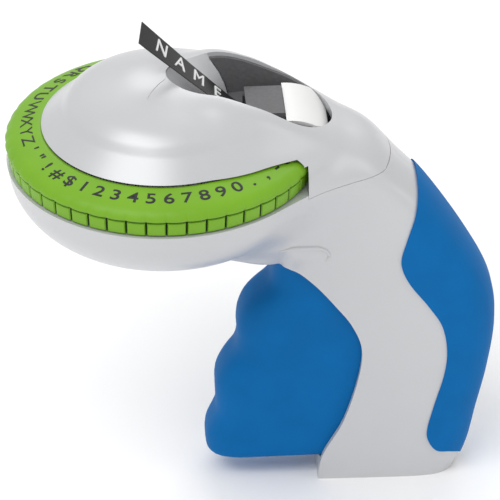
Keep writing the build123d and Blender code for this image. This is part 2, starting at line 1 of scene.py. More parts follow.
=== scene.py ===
import bpy
import bmesh
import json
import math
import numpy as np
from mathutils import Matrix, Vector


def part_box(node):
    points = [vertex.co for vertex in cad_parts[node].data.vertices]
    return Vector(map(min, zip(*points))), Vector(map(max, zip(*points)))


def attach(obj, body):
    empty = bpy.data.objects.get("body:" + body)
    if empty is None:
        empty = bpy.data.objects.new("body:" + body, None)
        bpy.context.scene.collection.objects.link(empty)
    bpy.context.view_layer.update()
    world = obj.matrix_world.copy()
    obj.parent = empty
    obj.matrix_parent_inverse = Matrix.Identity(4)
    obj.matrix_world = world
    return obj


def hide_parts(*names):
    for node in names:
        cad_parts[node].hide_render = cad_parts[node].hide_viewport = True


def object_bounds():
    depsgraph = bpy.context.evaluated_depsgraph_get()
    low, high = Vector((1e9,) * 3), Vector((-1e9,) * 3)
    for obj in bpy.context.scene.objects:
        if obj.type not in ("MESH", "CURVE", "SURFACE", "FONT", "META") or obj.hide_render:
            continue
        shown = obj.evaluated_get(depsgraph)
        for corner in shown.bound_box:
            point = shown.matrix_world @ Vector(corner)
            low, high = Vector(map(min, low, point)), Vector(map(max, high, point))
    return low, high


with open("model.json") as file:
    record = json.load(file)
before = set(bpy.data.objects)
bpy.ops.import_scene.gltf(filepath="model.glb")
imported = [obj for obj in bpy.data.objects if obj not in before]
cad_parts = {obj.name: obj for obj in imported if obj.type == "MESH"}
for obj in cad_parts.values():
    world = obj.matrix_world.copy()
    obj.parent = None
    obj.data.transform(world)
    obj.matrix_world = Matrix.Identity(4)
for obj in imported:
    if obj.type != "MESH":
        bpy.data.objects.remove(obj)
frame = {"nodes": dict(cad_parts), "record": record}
cad_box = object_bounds()

# Shapes below are in millimetres from the dial's centre at the level of its character edge,
# as in the CAD source. WHEEL_X and WHEEL_Z place them in the frame.
MM = 0.001
ring_low, ring_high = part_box("dial_ring")
WHEEL_X = (ring_low.x + ring_high.x) / 2 / MM
RING_DROP = 5.7          # from the character edge down to the dial's underside
WHEEL_Z = ring_low.z / MM + RING_DROP
CHARACTERS = "ABCDEFGHIJKLMNOPQRSTUVWXYZ'\"!#$1234567890.,-&/?:+"
PADS = 49                # finger pads round the dial, one for each character
PITCH = 2 * math.pi / PADS
SEAM_LEVEL = -7.5        # between cover and body, behind the dial
LIP_LEVEL = -6.1         # top of the bowl, under the dial
LIP_END = 43.8           # where the dial goes into the housing
SKIRT_LEVEL = 2.6        # lowest edge of the cover above the dial
FOOT_LEVEL = -127.0
FAR = 61                 # half size of cutters that reach past the head on every side


def to_frame(points):
    """Millimetres from the dial's centre to metres in the row frame."""
    p = np.asarray(points, float).copy()
    p[:, 0] += WHEEL_X
    p[:, 2] += WHEEL_Z
    return p * MM


def mesh_object(name, points, faces, smooth_angle=32):
    """A mesh object from points in millimetres, smooth except at sharp edges."""
    mesh = bpy.data.meshes.new(name)
    mesh.from_pydata([tuple(p) for p in to_frame(points)], [], [tuple(int(i) for i in f) for f in faces])
    mesh.validate()
    obj = bpy.data.objects.new(name, mesh)
    bpy.context.scene.collection.objects.link(obj)
    shade(obj, smooth_angle)
    return obj


def shade(obj, angle=32):
    """Smooth shading with sharp edges above an angle."""
    obj.data.shade_smooth()
    obj.data.set_sharp_from_angle(angle=math.radians(angle))


def fix_normals(obj):
    """Makes a closed mesh's faces point outwards."""
    b = bmesh.new()
    b.from_mesh(obj.data)
    bmesh.ops.recalc_face_normals(b, faces=b.faces)
    b.to_mesh(obj.data)
    b.free()


# ---------------------------------------------------------------- smooth outlines
def spline(points, steps):
    """Points on a smooth curve through the given points (uniform Catmull-Rom)."""
    p = np.asarray(points, float)
    p = np.vstack([2 * p[0] - p[1], p, 2 * p[-1] - p[-2]])
    out = []
    for i in range(1, len(p) - 2):
        for t in np.linspace(0, 1, steps, endpoint=False):
            a, b, c, d = p[i - 1], p[i], p[i + 1], p[i + 2]
            out.append(0.5 * (2 * b + (c - a) * t + (2 * a - 5 * b + 4 * c - d) * t**2
                              + (3 * b - a - 3 * c + d) * t**3))
    out.append(p[-2])
    return np.array(out)


# ---------------------------------------------------------------- housing as a distance field
# Cross sections of neck and handle: front point and back point (x and z each), widest half width
# and its depth below the back, crease half width and its depth, half width of back and of front.
NECK_ROWS = np.array([
    (4, -27.5, 5, 18.0, 23.0, 22, 18.5, 5.0, 14.0, 14.0),
    (16, -32, 16, 22.0, 26.0, 25, 21.0, 5.0, 16.6, 20.0),
    (26, -36, 27.5, 18.9, 28.5, 24, 22.0, 5.2, 17.4, 20.5),
    (32, -38.5, 36.5, 14.8, 28.5, 21, 21.6, 5.2, 17.2, 18.0),
    (36, -40, 45.5, 10.4, 27.0, 17, 20.0, 4.8, 14.6, 15.5),
    (39, -41.6, 56, 5.2, 23.4, 13.5, 18.4, 5.0, 10.0, 14.2),
    (42, -44, 66, -0.2, 19.3, 12, 16.8, 5.0, 8.2, 13.6),
    (45, -47, 74.5, -9.6, 16.9, 11.5, 15.2, 4.6, 7.6, 13.4),
    (49, -51.5, 84, -20.5, 15.9, 11, 14.0, 4.2, 7.2, 13.2),
    (54, -58, 96.2, -39.4, 15.2, 10.5, 13.4, 4.0, 7.2, 13.2),
    (59.5, -66, 104.6, -56.5, 15.0, 10, 13.2, 4.0, 7.6, 13.2),
    (62.8, -75.5, 106.4, -71, 15.0, 10, 13.2, 4.0, 7.8, 13.2),
    (61.6, -88, 104.6, -88, 15.0, 10, 13.2, 4.0, 7.8, 13.2),
    (57, -104, 101.4, -104, 15.0, 10, 13.2, 4.0, 7.8, 13.2),
    (50.5, -117, 98.8, -117, 14.6, 10, 13.0, 4.0, 7.8, 13.2),
    (49, -127, 95.0, -127, 13.6, 10, 12.2, 4.0, 7.8, 12.6),
    (48.5, -136, 91.0, -136, 13.0, 10, 11.8, 4.0, 7.8, 12.0),
])
HANDLE_FRONT = spline([row[:2] for row in NECK_ROWS[4:]], 8)
LOWER_ROWS = slice(5, None)
# The form reaches 3 mm further forward along the handle, and a straight cut makes the crisp edge.
NECK_ROWS[LOWER_ROWS, :2] -= 3 * (NECK_ROWS[LOWER_ROWS, 2:4] - NECK_ROWS[LOWER_ROWS, :2]) / np.linalg.norm(
    NECK_ROWS[LOWER_ROWS, 2:4] - NECK_ROWS[LOWER_ROWS, :2], axis=1, keepdims=True)
NECK = spline(NECK_ROWS, 24)
NECK_START = 4.0         # the form ends here in front, inside the head
NECK_STOP = -132.0       # and here below, under the foot
SIDE_END = 9.0           # from the front up to where the sides start to draw in


def smooth_max(a, b, r):
    return np.maximum(a, b) + np.maximum(r - np.abs(a - b), 0) ** 2 / (4 * r)


def smooth_min(a, b, r):
    return np.minimum(a, b) - np.maximum(r - np.abs(a - b), 0) ** 2 / (4 * r)


def neck_distance(x, y, z, inset_depth=0.0, inset_width=0.0):
    """Distance to the neck and handle form, with rounded edges."""

    def side_of(row):
        """Negative for points above a cross section's line, positive for points below it."""
        front_x, front_z, back_x, back_z = np.moveaxis(row[..., :4], -1, 0)
        return (back_x - front_x) * (z - front_z) - (back_z - front_z) * (x - front_x)

    low = np.zeros(x.shape, int)
    high = np.full(x.shape, len(NECK) - 1)
    for _ in range(math.ceil(math.log2(len(NECK))) + 1):
        middle = (low + high) // 2
        before = side_of(NECK[middle]) < 0
        low = np.where(before, middle, low)
        high = np.where(before, high, middle)
    row0 = NECK[low]
    row1 = NECK[high]
    s0 = side_of(row0)
    gap = side_of(row1) - s0
    t = np.clip(-s0 / np.where(np.abs(gap) < 1e-9, 1, gap), 0, 1)[..., None]
    row = row0 * (1 - t) + row1 * t
    fx, fz, bx, bz, half, widest, crease, crease_depth, flat, edge = np.moveaxis(row, -1, 0)
    dx = bx - fx
    dz = bz - fz
    depth = np.hypot(dx, dz)
    up = ((x - fx) * dx + (z - fz) * dz) / depth
    a = depth - up
    w = np.abs(y)
    corners = [
        (inset_depth + 0 * a, flat - 0.4 * inset_width),
        (inset_depth + crease_depth, crease - inset_width),
        (inset_depth + widest, half - inset_width),
        (depth - inset_depth - SIDE_END, (half + edge) / 2 - inset_width),
        (depth - inset_depth, edge - inset_width),
    ]
    side_rounding = [3.4, 2.8, 1.6, 0.5]
    front_rounding = 1.6
    result = inset_depth - a
    for (a0, y0), (a1, y1), r in zip(corners[:-1], corners[1:], side_rounding):
        length = np.hypot(a1 - a0, y1 - y0)
        result = smooth_max(result, ((a - a0) * (y0 - y1) + (w - y0) * (a1 - a0)) / length, r)
    result = smooth_max(result, a - (depth - inset_depth), front_rounding)
    return np.maximum(result, np.maximum(NECK_START - x, NECK_STOP - z))


# Half outlines of dome, bowl and the hollow inside them: radius and height.
DOME = np.vstack([
    [(0, 1.0), (43.9, 1.0)],
    spline([(31.9, 11.9), (31.0, 13.1), (29.0, 15.4), (24.8, 18.1), (17, 20.8), (9, 22.7), (0, 23.4)], 6),
])
BOWL = np.vstack([
    spline([
        (0, -31.2), (9, -31.1), (18, -30.7), (30, -28.8), (38, -25.6), (44, -20.6), (48, -13.9), (49.6, -6.3),
    ], 6),
    [(50.2, -2.0), (0, -2.0)],
])
HOLLOW = np.vstack([
    spline([
        (0, -29), (17, -28.5), (29, -26.7), (36.5, -23.6), (42, -19.0), (45.8, -12.8), (47.3, -6.9),
    ], 4),
    [(47.3, -5.6), (36.6, -5.6), (36.6, 6.2)],
    spline([(30.4, 11.0), (27.4, 13.8), (23.6, 16.0), (16.4, 18.6), (8.6, 20.4), (0, 21.0)], 4),
])


def outline_table(outline, step=0.4, reach=64, low=-50, high=40):
    """Signed distance to a closed outline on a grid of radius and height."""
    r = np.arange(0, reach, step)
    z = np.arange(low, high, step)
    grid_r, grid_z = np.meshgrid(r, z, indexing="ij")
    best = np.full(grid_r.shape, 1e9)
    inside = np.zeros(grid_r.shape, bool)
    for (ax, az), (bx, bz) in zip(outline, np.roll(outline, -1, axis=0)):
        ex, ez = bx - ax, bz - az
        if math.hypot(ex, ez) < 1e-9:
            continue
        t = np.clip(((grid_r - ax) * ex + (grid_z - az) * ez) / (ex * ex + ez * ez), 0, 1)
        d = np.hypot(grid_r - ax - t * ex, grid_z - az - t * ez)
        if not (ax < 1e-6 and bx < 1e-6):
            best = np.minimum(best, d)
        crosses = (az > grid_z) != (bz > grid_z)
        at = ax + (grid_z - az) * ex / (ez if abs(ez) > 1e-12 else 1e-12)
        inside ^= crosses & (grid_r < at)
    return np.where(inside, -best, best), step, low


def turned_distance(table, x, y, z):
    """Distance to a solid of revolution about the dial's axis, read from its table."""
    values, step, low = table
    i = np.clip(np.hypot(x, y) / step, 0, values.shape[0] - 2)
    j = np.clip((z - low) / step, 0, values.shape[1] - 2)
    i0 = i.astype(int)
    j0 = j.astype(int)
    u = np.clip(i - i0, 0, 1)
    v = np.clip(j - j0, 0, 1)
    return ((values[i0, j0] * (1 - u) + values[i0 + 1, j0] * u) * (1 - v)
            + (values[i0, j0 + 1] * (1 - u) + values[i0 + 1, j0 + 1] * u) * v)


dome_table = outline_table(DOME)
bowl_table = outline_table(BOWL)
hollow_table = outline_table(HOLLOW)
FLARE_END = math.radians(74)      # the dome's skirt widens from here towards the neck
FLARE = 0.225
FLARE_POWER = 1.15
NECK_BLEND = 5.0                  # how softly the forms run into one another
BOWL_BLEND = 9.0


def housing_distance(x, y, z):
    """The outside of cover and body: dome, bowl and neck run into one another."""
    neck = neck_distance(x, y, z)
    near_neck = np.clip(1 - np.abs(np.arctan2(y, x)) / FLARE_END, 0, 1)
    flare = 1 + FLARE * near_neck ** FLARE_POWER
    skin = smooth_min(turned_distance(dome_table, x / flare, y / flare, z), neck, NECK_BLEND)
    return smooth_min(skin, turned_distance(bowl_table, x, y, z), BOWL_BLEND)


def hollow_distance(x, y, z):
    """The inside of the housing, down to the floor of the handle."""
    wall_depth, wall_width, handle_floor = 2.6, 2.7, -121
    neck = neck_distance(x, y, z, wall_depth, wall_width)
    head = turned_distance(hollow_table, x, y, z)
    return np.minimum(head, np.maximum(neck, handle_floor - z))


def grip_distance(x, y, z):
    """The rear grip's outside, which stands a little proud of the handle."""
    return np.maximum(neck_distance(x, y, z) - 0.55, 62 - x)


def under_grip_distance(x, y, z):
    """The part of the handle that lies under the rear grip."""
    return np.maximum(neck_distance(x, y, z, 2.0, 1.4), 56 - x)


def surface_net(distance, low, high, step):
    """A closed quad mesh of a distance field's zero surface, its points moved onto the surface."""
    axes = [np.arange(a, b + step, step) for a, b in zip(low, high)]
    grid = np.empty([len(a) for a in axes])
    for i, x in enumerate(axes[0]):
        y, z = np.meshgrid(axes[1], axes[2], indexing="ij")
        grid[i] = distance(np.full(y.shape, x), y, z)
    solid = grid < 0
    total = np.zeros([len(a) - 1 for a in axes] + [3])
    count = np.zeros([len(a) - 1 for a in axes])
    for axis in range(3):
        a = np.moveaxis(grid, axis, 0)
        s = np.moveaxis(solid, axis, 0)
        cross = s[:-1] != s[1:]
        t = np.zeros(cross.shape)
        t[cross] = (a[:-1][cross] / (a[:-1][cross] - a[1:][cross]))
        cross = np.moveaxis(cross, 0, axis)
        t = np.moveaxis(t, 0, axis)
        others = [k for k in range(3) if k != axis]
        for du in (0, 1):
            for dv in (0, 1):
                take = [slice(None)] * 3
                take[others[0]] = slice(du, du + total.shape[others[0]])
                take[others[1]] = slice(dv, dv + total.shape[others[1]])
                c = cross[tuple(take)]
                offset = [0.0, 0.0, 0.0]
                offset[others[0]] = float(du)
                offset[others[1]] = float(dv)
                for k in range(3):
                    total[..., k] += np.where(c, t[tuple(take)] if k == axis else offset[k], 0)
                count += c
    used = count > 0
    number = np.full(used.shape, -1)
    number[used] = np.arange(used.sum())
    cell = np.argwhere(used)
    points = np.array(low) + (cell + total[used] / count[used][:, None]) * step
    quads = []
    for axis, (u, v) in enumerate([(1, 2), (2, 0), (0, 1)]):
        first = [slice(None)] * 3
        second = [slice(None)] * 3
        first[axis] = slice(0, -1)
        second[axis] = slice(1, None)
        a = solid[tuple(first)]
        b = solid[tuple(second)]
        for flip, hit in ((False, a & ~b), (True, ~a & b)):
            at = np.argwhere(hit)
            keep = (at[:, u] > 0) & (at[:, v] > 0)
            keep &= (at[:, u] < solid.shape[u] - 1) & (at[:, v] < solid.shape[v] - 1)
            at = at[keep]
            ring = []
            for du, dv in ((1, 1), (0, 1), (0, 0), (1, 0)):
                q = at.copy()
                q[:, u] -= du
                q[:, v] -= dv
                ring.append(number[q[:, 0], q[:, 1], q[:, 2]])
            quad = np.stack(ring, 1)
            quads.append(quad[:, ::-1] if flip else quad)
    quads = np.vstack(quads)
    points = relax(distance, points, quads, step)
    return points, quads


def slope(distance, points):
    """A distance field's value and gradient at some points."""
    h = 0.05
    x, y, z = points.T
    gradient = np.stack([
        distance(x + h, y, z) - distance(x - h, y, z),
        distance(x, y + h, z) - distance(x, y - h, z),
        distance(x, y, z + h) - distance(x, y, z - h),
    ], 1) / (2 * h)
    steepness = np.maximum((gradient ** 2).sum(1, keepdims=True), 0.05)
    return distance(x, y, z)[:, None], gradient, steepness


def relax(distance, points, quads, step):
    """Evens out the net a little and moves its points onto the surface."""
    pairs = np.vstack([quads[:, [0, 1]], quads[:, [1, 2]], quads[:, [2, 3]], quads[:, [3, 0]]])
    degree = np.bincount(pairs.ravel(), minlength=len(points))[:, None]
    for _ in range(5):
        total = np.zeros_like(points)
        np.add.at(total, pairs[:, 0], points[pairs[:, 1]])
        np.add.at(total, pairs[:, 1], points[pairs[:, 0]])
        points = points * 0.45 + total / degree * 0.55
        for _ in range(2):
            value, gradient, steepness = slope(distance, points)
            move = -value * gradient / steepness
            far = np.linalg.norm(move, axis=1, keepdims=True)
            points = points + move * np.minimum(1, step / np.maximum(far, 1e-9))
    return points


def net_object(name, distance, low, high, step):
    points, quads = surface_net(distance, low, high, step)
    return mesh_object(name, points, quads)


# ---------------------------------------------------------------- solids from stacked outlines
def wall_faces(rings, n, closed=False):
    """Quads between stacked rings of n points. A closed stack also joins its last ring to its first."""
    faces = []
    for i in range(rings if closed else rings - 1):
        after = (i + 1) % rings
        for j in range(n):
            k = (j + 1) % n
            faces.append((i * n + j, i * n + k, after * n + k, after * n + j))
    return faces


def end_faces(rings, n):
    """The flat faces that close the first and the last ring."""
    return [tuple(range(n))[::-1], tuple(range((rings - 1) * n, rings * n))]


def turned_solid(name, outline, turns=256):
    """A closed solid of revolution about the dial's axis, for an outline clear of the axis."""
    outline = np.asarray(outline, float)
    n = len(outline)
    angle = np.arange(turns) * 2 * math.pi / turns
    points = np.stack([
        np.outer(np.cos(angle), outline[:, 0]), np.outer(np.sin(angle), outline[:, 0]),
        np.tile(outline[:, 1], (turns, 1)),
    ], -1).reshape(-1, 3)
    obj = mesh_object(name, points, wall_faces(turns, n, closed=True))
    fix_normals(obj)
    return obj


def prism(name, outline, low, high, axis="y"):
    """A closed prism with a side outline in x and z, or a plan outline in x and y."""
    outline = np.asarray(outline, float)
    n = len(outline)
    if axis == "y":
        points = [(x, side, z) for side in (low, high) for x, z in outline]
    else:
        points = [(x, y, side) for side in (low, high) for x, y in outline]
    obj = mesh_object(name, points, end_faces(2, n) + wall_faces(2, n))
    fix_normals(obj)
    return obj


BAY_HALF = 15.3          # half width of the tape bay
BAY_REAR = 38.0          # centre of its rear half circle
BAY_FRONT = 30.0         # centre of its front half ellipse


def bay_plan(inset, front_x=1.0, steps=48):
    """Plan outline of the tape bay: an ellipse in front, straight in the middle, round behind."""
    quarter = math.pi / 2
    half = BAY_HALF - inset
    reach = BAY_FRONT - front_x - inset
    rear_turn = np.linspace(-quarter, quarter, steps)
    front_turn = np.linspace(quarter, 3 * quarter, steps)
    rear = [(BAY_REAR + half * math.cos(a), half * math.sin(a)) for a in rear_turn]
    front = [(BAY_FRONT + reach * math.cos(a), half * math.sin(a)) for a in front_turn]
    return rear + front


def scoop_solid(name, levels):
    """Closed solid between plan outlines stacked at the given heights: height, inset, front end."""
    rings = [[(x, y, z) for x, y in bay_plan(inset, front_x)] for z, inset, front_x in levels]
    faces = end_faces(len(rings), len(rings[0])) + wall_faces(len(rings), len(rings[0]))
    obj = mesh_object(name, [p for ring in rings for p in ring], faces)
    fix_normals(obj)
    return obj


def cutter_box(name, x_range, z_range, y_range=(-FAR, FAR)):
    """A closed box for cutting."""
    (x0, x1), (z0, z1) = x_range, z_range
    return prism(name, [(x0, z0), (x1, z0), (x1, z1), (x0, z1)], *y_range)


def cut(obj, tool, operation="DIFFERENCE"):
    """Cuts a closed mesh with another and keeps the result as its mesh."""
    modifier = obj.modifiers.new("cut", "BOOLEAN")
    modifier.operation = operation
    modifier.solver = "MANIFOLD"
    modifier.object = tool
    bpy.context.view_layer.update()
    result = bpy.data.meshes.new_from_object(obj.evaluated_get(bpy.context.evaluated_depsgraph_get()))
    obj.modifiers.clear()
    old = obj.data
    obj.data = result
    bpy.data.meshes.remove(old)
    return obj


def copy_of(obj, name):
    twin = obj.copy()
    twin.data = obj.data.copy()
    twin.name = name
    bpy.context.scene.collection.objects.link(twin)
    return twin


def remove(*objects):
    for obj in objects:
        bpy.data.objects.remove(obj)


# ---------------------------------------------------------------- materials
def material(name, color, roughness, spread=0.02, grain=2500.0, bump=0.03, metallic=0.0, coat=0.0,
             coat_roughness=0.1, sheen=0.0, specular=0.5, blotch=60.0, rough_spread=0.05):
    """Moulded plastic or rubber: fine grain, slow colour variation and uneven gloss."""
    m = bpy.data.materials.new(name)
    m.use_nodes = True
    nodes = m.node_tree.nodes
    links = m.node_tree.links
    shader = nodes["Principled BSDF"]
    shader.inputs["Metallic"].default_value = metallic
    shader.inputs["Coat Weight"].default_value = coat
    shader.inputs["Coat Roughness"].default_value = coat_roughness
    shader.inputs["Sheen Weight"].default_value = sheen
    shader.inputs["Specular IOR Level"].default_value = specular
    place = nodes.new("ShaderNodeTexCoord")
    slow = nodes.new("ShaderNodeTexNoise")
    slow.inputs["Scale"].default_value = blotch
    slow.inputs["Detail"].default_value = 3.0
    links.new(place.outputs["Object"], slow.inputs["Vector"])
    ramp = nodes.new("ShaderNodeValToRGB")
    ramp.color_ramp.elements[0].position = 0.3
    ramp.color_ramp.elements[1].position = 0.7
    ramp.color_ramp.elements[0].color = (*[c * (1 - spread) for c in color], 1)
    ramp.color_ramp.elements[1].color = (*[min(1, c * (1 + spread)) for c in color], 1)
    links.new(slow.outputs["Fac"], ramp.inputs["Fac"])
    links.new(ramp.outputs["Color"], shader.inputs["Base Color"])
    fine = nodes.new("ShaderNodeTexNoise")
    fine.inputs["Scale"].default_value = grain
    fine.inputs["Detail"].default_value = 2.0
    links.new(place.outputs["Object"], fine.inputs["Vector"])
    gloss = nodes.new("ShaderNodeMapRange")
    gloss.inputs["To Min"].default_value = max(0.02, roughness - rough_spread)
    gloss.inputs["To Max"].default_value = roughness + rough_spread
    links.new(slow.outputs["Fac"], gloss.inputs["Value"])
    links.new(gloss.outputs["Result"], shader.inputs["Roughness"])
    relief = nodes.new("ShaderNodeBump")
    relief.inputs["Strength"].default_value = bump
    relief.inputs["Distance"].default_value = 0.0002
    links.new(fine.outputs["Fac"], relief.inputs["Height"])
    links.new(relief.outputs["Normal"], shader.inputs["Normal"])
    return m


silver = material(
    "silver_plastic", (0.58, 0.585, 0.60), 0.36, spread=0.012, grain=3200, bump=0.03, metallic=0.15, coat=0.4,
    coat_roughness=0.28, blotch=35)
green = material(
    "dial_green_plastic", (0.185, 0.41, 0.018), 0.42, spread=0.04, grain=2600, bump=0.05, specular=0.3)
blue = material(
    "blue_rubber", (0.0, 0.135, 0.40), 0.62, spread=0.05, grain=1900, bump=0.16, specular=0.12, blotch=80)
dark = material(
    "bay_dark_plastic", (0.125, 0.125, 0.13), 0.62, spread=0.10, grain=1400, bump=0.5, blotch=900)
white = material(
    "white_plastic", (0.78, 0.78, 0.77), 0.33, spread=0.015, grain=2400, bump=0.05, coat=0.2)
inner = material(
    "dark_plastic", (0.06, 0.06, 0.065), 0.5, spread=0.08, grain=1800, bump=0.2)
steel = material(
    "plated_steel", (0.55, 0.55, 0.56), 0.30, spread=0.05, grain=2200, bump=0.06, metallic=1.0,
    rough_spread=0.1)
rubber = material(
    "black_rubber", (0.022, 0.022, 0.022), 0.75, spread=0.1, grain=1200, bump=0.4)
tape = material(
    "black_tape", (0.010, 0.010, 0.011), 0.28, spread=0.1, grain=1500, bump=0.06, coat=0.3, blotch=200)
ink = material(
    "black_ink", (0.010, 0.011, 0.010), 0.45, spread=0.1, grain=1500, bump=0.05)
# Near-black green for the dial's pad gaps and the step above the pads: painted shade in those recesses.
painted_groove_shade = material(
    "dial_painted_groove_shade", (0.012, 0.04, 0.004), 0.6, spread=0.2, grain=2600, bump=0.1)
stress_white = material(
    "stretched_tape", (0.80, 0.80, 0.81), 0.5, spread=0.05, grain=2600, bump=0.25)


def finish_piece(obj, look, body="housing", nodes=()):
    """Material and body of one made piece, and hides the CAD nodes it replaces."""
    obj.data.materials.clear()
    obj.data.materials.append(look)
    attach(obj, body)
    if nodes:
        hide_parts(*nodes)
    return obj


LOOKS = {
    "housing": silver, "dial_green": green, "grip_blue": blue, "bay_dark": dark, "cover_white": white,
    "inner_plastic": inner, "steel": steel, "roller_rubber": rubber, "tape_black": tape,
}
for entry in frame["record"]["subparts"]:
    node = frame["nodes"][entry["node"]]
    node.data.materials.clear()
    node.data.materials.append(LOOKS[entry["material_slot"]])
    shade(node, 30)

# ---------------------------------------------------------------- housing shells and rear grip
STEP = 1.1       # spacing of the nets
COARSE = 1.4                            # surfaces that hide inside take a wider net
SEAM_GAP = 0.15                         # between cover and body
HALF_GAP = 0.03                         # from the middle plane to each half of the body
BACK = 125                              # behind everything
GRIP_EDGE = spline([
    (80.3, -17.5), (79.0, -24), (76.6, -32), (74.8, -39.5), (75.4, -44.5), (78.3, -50.5), (84, -58.5),
    (88.6, -66.5), (90.4, -76.5), (89.6, -86), (86.6, -98), (84.6, -107.5), (85.2, -112), (88, -116),
    (92.6, -117.2), (96, -119.6), (97.4, -124.0),
], 6)
SCREW_PLACES = [(80, -62), (84, -88), (79.5, -113)]
outside = net_object("outside", housing_distance, (-54, -54, -134), (112, 54, 28), STEP)
inside = net_object("inside", hollow_distance, (-52, -52, -126), (110, 52, 26), STEP * COARSE)
ring_space = turned_solid("ring_space", [
    (36.6, 5.8), (38.6, 6.1), (46.9, 4.6), (49.4, 2.8), (50.6, 0.9), (50.6, -6.0), (36.6, -6.0),
])


def cover_region(grow, front=-60):
    """Plan outline of the cover's region, with the arc at its rear end."""
    side, x_side, x_end = 19.0, 65.3 + grow, 72.0 + grow
    sag = x_end - x_side
    radius = (side ** 2 + sag ** 2) / (2 * sag)
    span = math.asin(side / radius)
    middle = x_end - radius
    arc = [(middle + radius * math.cos(a), radius * math.sin(a)) for a in np.linspace(-span, span, 25)]
    return [(front, -60), (x_side, -60), *arc, (x_side, 60), (front, 60)]


def bay_skirt():
    """The funnel-shaped wall that goes down from the cover into the front of the tape bay."""
    skirt = prism("skirt", bay_plan(-0.1), 7.5, 45, axis="z")
    funnel = scoop_solid("funnel", [
        (5.0, 1.2, 13.2), (8.0, 1.2, 12.6), (12.0, 1.2, 10.4), (16.0, 1.1, 7.2), (19.0, 0.9, 4.4),
        (21.5, 0.4, 2.0), (24.0, -0.6, -0.5), (34.0, -0.8, -1.0),
    ])
    zone = prism("skirt_zone", [
        (-5, 5), (21.4, 5), (21.1, 7.4), (20.2, 11.1), (18.4, 15.6), (15.0, 21.5), (12, 34), (-5, 34),
    ], -30, 30)
    cut(skirt, funnel)
    cut(skirt, zone, "INTERSECT")
    cut(skirt, outside, "INTERSECT")
    remove(funnel, zone)
    return skirt


def cover_shell():
    """Top cover of dome and neck, open over the dial and the tape bay."""
    region = prism("cover_region", cover_region(-SEAM_GAP), SEAM_LEVEL + SEAM_GAP, 40, axis="z")
    low_box = cutter_box("low_box", (-FAR, LIP_END), (-20, SKIRT_LEVEL))
    bay_hole = prism("bay_hole", bay_plan(0.0), 3.0, 45, axis="z")
    skirt = bay_skirt()
    shell = copy_of(outside, "top_cover_shell")
    cut(shell, inside)
    cut(shell, region, "INTERSECT")
    cut(shell, low_box)
    cut(shell, ring_space)
    cut(shell, bay_hole)
    cut(shell, skirt, "UNION")
    remove(region, low_box, bay_hole, skirt)
    return shell


def grip_shell():
    """Rear grip, a rubber skin let into the back of the handle."""
    side = [(112, -10.0), (80.6, -10.0), *[tuple(p) for p in GRIP_EDGE], (112, -124.0)]
    zone = prism("grip_zone", side, -30, 30)
    skin = net_object("rear_grip_rubber", grip_distance, (60, -20, -134), (112, 20, 6), STEP)
    under = net_object("under_grip", under_grip_distance, (40, -20, -140), (108, 20, 10), STEP * COARSE)
    cut(skin, under)
    cut(skin, zone, "INTERSECT")
    remove(under, zone)
    return skin


def body_shell(grip):
    """Bowl, neck and handle in one, open under the cover, round the trigger and under the grip."""
    shell = copy_of(outside, "body_right_shell")
    tools = [
        prism("seam_below", cover_region(0.0, LIP_END - 0.1), SEAM_LEVEL, 40, axis="z"),
        cutter_box("lip_box", (-FAR, LIP_END), (LIP_LEVEL, 41)),
        copy_of(ring_space, "ring_space_again"),
        cutter_box("under_foot", (-FAR, BACK), (-150, FOOT_LEVEL)),
        prism("trigger_channel", [
            (22.5, -24), (34, -24), (50, -35), (61, -43), (71, -56), (77.6, -68), (78, -84), (74, -104),
            (66, -119.6), (8, -119.6), (8, -60), (22.5, -42),
        ], -11.7, 11.7),
        prism("front_side", [
            (34.5, -39.6), *[tuple(p) for p in HANDLE_FRONT if p[1] < -41], (48, -140), (-20, -140),
            (-20, -39.6),
        ], -40, 40),
    ]
    cut(shell, inside)
    for tool in tools:
        cut(shell, tool)
    cut(shell, grip)
    remove(*tools)
    return shell


def body_halves(right):
    """Parts the body in the middle plane, and sinks the screws' recesses into its right half."""
    left = copy_of(right, "body_left_shell")
    left_side = cutter_box("left_side", (-FAR, BACK), (-140, 45), (-FAR, -HALF_GAP))
    right_side = cutter_box("right_side", (-FAR, BACK), (-140, 45), (HALF_GAP, FAR))
    cut(left, left_side, "INTERSECT")
    cut(right, right_side, "INTERSECT")
    radius = 2.3
    turn = np.linspace(0, 2 * math.pi, 33)[:-1]
    for x, z in SCREW_PLACES:
        circle = [(x + radius * math.cos(a), z + radius * math.sin(a)) for a in turn]
        recess = prism("recess", circle, 8.0, 24)
        cut(right, recess)
        remove(recess)
    remove(left_side, right_side)
    return left, right


cover = cover_shell()
grip = grip_shell()
left_half, right_half = body_halves(body_shell(grip))
remove(outside, inside, ring_space)
for shell in (cover, left_half, right_half, grip):
    shade(shell, 35)
finish_piece(cover, silver, nodes=["top_cover"])
finish_piece(left_half, silver, nodes=["body_left"])
finish_piece(right_half, silver, nodes=["body_right"])
finish_piece(grip, blue, nodes=["rear_grip"])


# ---------------------------------------------------------------- fine moulded lines
def on_surface(points):
    """Moves points onto the outside of the housing."""
    p = np.asarray(points, float)
    for _ in range(12):
        value, gradient, steepness = slope(housing_distance, p)
        p = p - 0.7 * value * gradient / steepness
    return p


def bead(name, path, width):
    """A low moulded ridge along a path on the housing, tapering at both ends."""
    line = on_surface(spline(path, 10))
    points = []
    around = 10
    for i, centre_point in enumerate(line):
        ahead = line[min(i + 1, len(line) - 1)] - line[max(i - 1, 0)]
        ahead /= np.linalg.norm(ahead)
        side = np.cross(ahead, (0.0, 0.0, 1.0))
        side /= np.linalg.norm(side)
        up = np.cross(side, ahead)
        radius = width / 2 * max(0.15, math.sin(math.pi * i / (len(line) - 1)) ** 0.5)
        for k in range(around):
            a = 2 * math.pi * k / around
            points.append(centre_point + radius * (side * math.cos(a) + up * math.sin(a)))
    obj = mesh_object(name, points, wall_faces(len(line), around) + end_faces(len(line), around))
    fix_normals(obj)
    return obj


